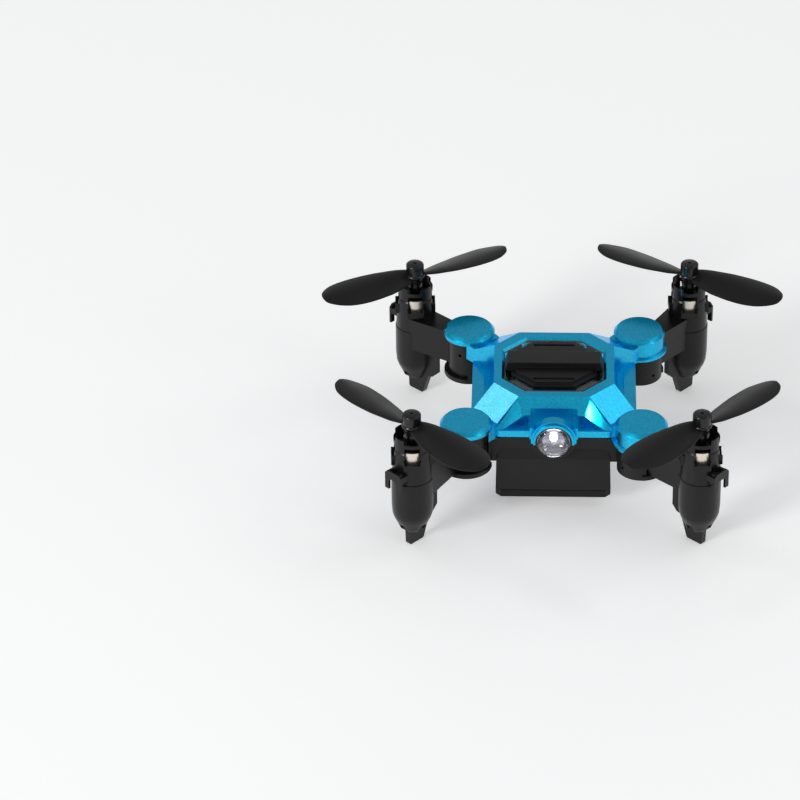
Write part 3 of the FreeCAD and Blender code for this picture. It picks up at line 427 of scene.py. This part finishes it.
# Stations along a blade: fraction of the propeller's radius, leading edge, trailing edge, pitch, thickness.
BLADE = (
    (0.05, 1.2, -1.2, 26.0, 0.95),
    (0.10, 1.7, -1.7, 22.0, 0.90),
    (0.18, 2.2, -2.3, 17.5, 0.85),
    (0.28, 2.5, -3.0, 15.5, 0.80),
    (0.38, 2.8, -3.45, 13.7, 0.72),
    (0.51, 2.93, -3.93, 12.0, 0.66),
    (0.64, 2.9, -4.17, 10.8, 0.60),
    (0.765, 2.63, -4.12, 9.5, 0.55),
    (0.867, 2.1, -3.6, 8.7, 0.48),
    (0.935, 1.3, -3.0, 8.2, 0.42),
    (0.972, 0.6, -2.5, 8.0, 0.38),
    (0.991, -0.05, -2.0, 8.0, 0.32),
    (1.0, -0.75, -1.35, 8.0, 0.24),
)
STEPS_BETWEEN = 4
SECTION_STEPS = 12

# Outline of the hub: radius and height, from its foot to the middle of its top.
HUB_OUTLINE = (
    (0.55, 19.6), (1.2, 19.6), (1.3, 19.7), (1.46, 21.0), (1.58, 22.1), (1.66, 22.5), (1.78, 22.62),
    (1.86, 22.75), (1.86, 22.95), (1.76, 23.1), (1.68, 23.2), (1.69, 23.3), (1.69, 24.98), (1.66, 25.1),
    (1.45, 25.29), (1.35, 25.33), (0.3, 25.33), (0.25, 25.28), (0.25, 24.75), (0.0, 24.75),
)
ROUND_STEPS = 48


def pod_place(turns):
    """Middle of a pod and its arm's angle, a number of quarter turns on from the front left."""
    hinge = Matrix.Rotation(math.radians(90 * turns), 3, "Z") @ Vector((-HINGE_HALF, -HINGE_HALF, 0))
    angle = math.radians(225 + ARM_LEAD + 90 * turns)
    return hinge + Vector((math.cos(angle), math.sin(angle), 0)) * ARM_REACH, angle


def smooth_stations(table, steps):
    """The table with steps times as many rows, along smooth curves through the given ones."""
    rows = []
    last = len(table) - 1
    for k in range(last):
        before = table[max(k - 1, 0)]
        after = table[min(k + 2, last)]
        for step in range(steps):
            t = step / steps
            row = []
            for p0, p1, p2, p3 in zip(before, table[k], table[k + 1], after):
                bend = (2 * p0 - 5 * p1 + 4 * p2 - p3) * t * t + (3 * p1 - p0 - 3 * p2 + p3) * t ** 3
                row.append(p1 + 0.5 * ((p2 - p0) * t + bend))
            rows.append(row)
    return rows + [list(table[last])]


def blade_ring(radius, lead, trail, pitch, thick, hand):
    """Points round one airfoil section of a blade, in the propeller's own axes."""
    chord = lead - trail
    slope = math.tan(math.radians(pitch))
    upper = []
    lower = []
    for k in range(SECTION_STEPS + 1):
        run = k / SECTION_STEPS
        middle = CAMBER * chord * math.sin(math.pi * run) - (1 - run) * chord * slope
        along = EDGE_BLUNTNESS + (1 - 2 * EDGE_BLUNTNESS) * run
        half = 0.5 * thick * math.sqrt(math.sin(math.pi * along))
        across = hand * (trail + run * chord)
        upper.append(Vector((radius, across, middle + half)))
        lower.append(Vector((radius, across, middle - half)))
    return upper + lower[::-1]


def body_of(node):
    """Name of the body a CAD node rides on."""
    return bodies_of(nodes[node])[0]


def mesh_object(name, build, material, smooth_angle=40.0):
    """An object from a function that fills a bmesh in millimetres."""
    shape = bmesh.new()
    build(shape)
    bmesh.ops.recalc_face_normals(shape, faces=shape.faces)
    bmesh.ops.scale(shape, vec=(MM, MM, MM), verts=shape.verts)
    for face in shape.faces:
        face.smooth = True
    for edge in shape.edges:
        edge.smooth = edge.calc_face_angle(0.0) < math.radians(smooth_angle)
    mesh = bpy.data.meshes.new(name)
    shape.to_mesh(mesh)
    shape.free()
    mesh.materials.append(material)
    item = bpy.data.objects.new(name, mesh)
    bpy.context.scene.collection.objects.link(item)
    return item


def skin(shape, rings, close=True):
    """Faces between rings of equal length, with the first and last ring filled if close is set."""
    rows = [[shape.verts.new(point) for point in ring] for ring in rings]
    count = len(rows[0])
    for low, high in zip(rows, rows[1:]):
        for k in range(count):
            shape.faces.new((low[k], low[(k + 1) % count], high[(k + 1) % count], high[k]))
    if close:
        shape.faces.new(rows[0])
        shape.faces.new(rows[-1])


def turned_rings(outline, place=Matrix()):
    """Rings of points round the third axis of place for a profile of radius and height pairs."""
    rings = []
    for radius, height in outline:
        ring = []
        for k in range(ROUND_STEPS):
            angle = 2 * math.pi * k / ROUND_STEPS
            ring.append(place @ Vector((radius * math.cos(angle), radius * math.sin(angle), height)))
        rings.append(ring)
    return rings


def turned(shape, outline, place=Matrix()):
    """A closed solid of revolution from an outline that starts and ends near its axis."""
    skin(shape, turned_rings([(max(radius, 0.001), height) for radius, height in outline], place))


def make_propeller(name, turns, hand, blade_turn):
    """Two smooth twisted blades and the glossy hub that grips the shaft."""
    middle, arm_angle = pod_place(turns)
    spin = arm_angle + math.radians(blade_turn)
    stations = smooth_stations(BLADE, STEPS_BETWEEN)

    def blades(shape):
        for turn in (spin, spin + math.pi):
            place = Matrix.Translation(middle + Vector((0, 0, PROP_LEVEL))) @ Matrix.Rotation(turn, 4, "Z")
            rings = [blade_ring(part * PROP_RADIUS, *row, hand) for part, *row in stations]
            skin(shape, [[place @ point for point in ring] for ring in rings])

    def hub(shape):
        turned(shape, HUB_OUTLINE, Matrix.Translation(middle))

    pieces = [mesh_object("blades_" + name, blades, MATERIALS["blade_black"], 60.0),
              mesh_object("hub_" + name, hub, MATERIALS["hub_black"])]
    for piece in pieces:
        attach(piece, body_of("propeller_" + name))
        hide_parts("propeller_" + name)


# ---------------------------------------------------------------- headlamp

LAMP_HEIGHT = 13.55

# Outlines about the lamp's axis: radius, and distance in front of the object's middle.
LENS_OUTLINE = (
    (0.0, 18.92), (0.8, 18.87), (1.25, 18.79), (1.7, 18.65), (2.1, 18.47), (2.4, 18.27), (2.58, 18.1),
    (2.62, 17.9), (2.62, 17.34), (2.64, 17.32), (2.82, 17.32), (2.84, 17.36), (2.84, 17.76), (3.0, 17.78),
    (3.03, 17.84), (3.02, 18.02), (2.96, 18.16), (2.75, 18.36), (2.45, 18.57), (2.1, 18.76), (1.7, 18.92),
    (1.25, 19.05), (0.8, 19.13), (0.4, 19.17), (0.0, 19.18),
)
BOWL_PROFILE = ((0.82, 16.0), (1.1, 16.02), (1.6, 16.15), (2.1, 16.45), (2.5, 16.8), (2.78, 17.15))
BOWL_WALL = 0.12
BOWL_FACETS = 20
FACET_DEPTH = 0.015
LED_OUTLINE = (
    (0.0, 13.62), (0.73, 13.62), (0.73, 16.0), (0.7, 16.25), (0.6, 16.5), (0.42, 16.7), (0.2, 16.82),
    (0.0, 16.84),
)


def lamp_axes():
    """The headlamp's axes: height along the lamp's line towards -Y."""
    return Matrix.Translation((0, 0, LAMP_HEIGHT)) @ Matrix.Rotation(math.radians(90), 4, "X")


def reflector_shape(shape):
    """A faceted bowl with a thin wall."""
    axes = lamp_axes()
    rings = []
    for profile, inward in ((BOWL_PROFILE, 0.0), (BOWL_PROFILE[::-1], BOWL_WALL)):
        for radius, height in profile:
            ring = []
            for k in range(2 * BOWL_FACETS):
                angle = math.pi * k / BOWL_FACETS
                reach = radius * (1.0 - FACET_DEPTH * (k % 2))
                point = Vector((reach * math.cos(angle), reach * math.sin(angle), height - inward))
                ring.append(axes @ point)
            rings.append(ring)
    skin(shape, rings + rings[:1], close=False)


def make_headlamp():
    """Domed lens, faceted reflector and lit lamp in place of the plain turned ones."""
    makers = {
        "headlamp_lens": (lambda shape: turned(shape, LENS_OUTLINE, lamp_axes()), "clear_plastic"),
        "headlamp_reflector": (reflector_shape, "reflector_chrome"),
        "headlamp_led": (lambda shape: turned(shape, LED_OUTLINE, lamp_axes()), "led_white"),
    }
    for node, (build, finish) in makers.items():
        piece = mesh_object(node + "_detail", build, MATERIALS[finish], 25.0)
        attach(piece, body_of(node))
        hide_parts(node)


make_camera()
make_lights()
make_floor()
dress_cad_nodes()
for turns, name in enumerate(TURRETS):
    make_propeller(name, turns, *PROPELLERS[name])
make_headlamp()
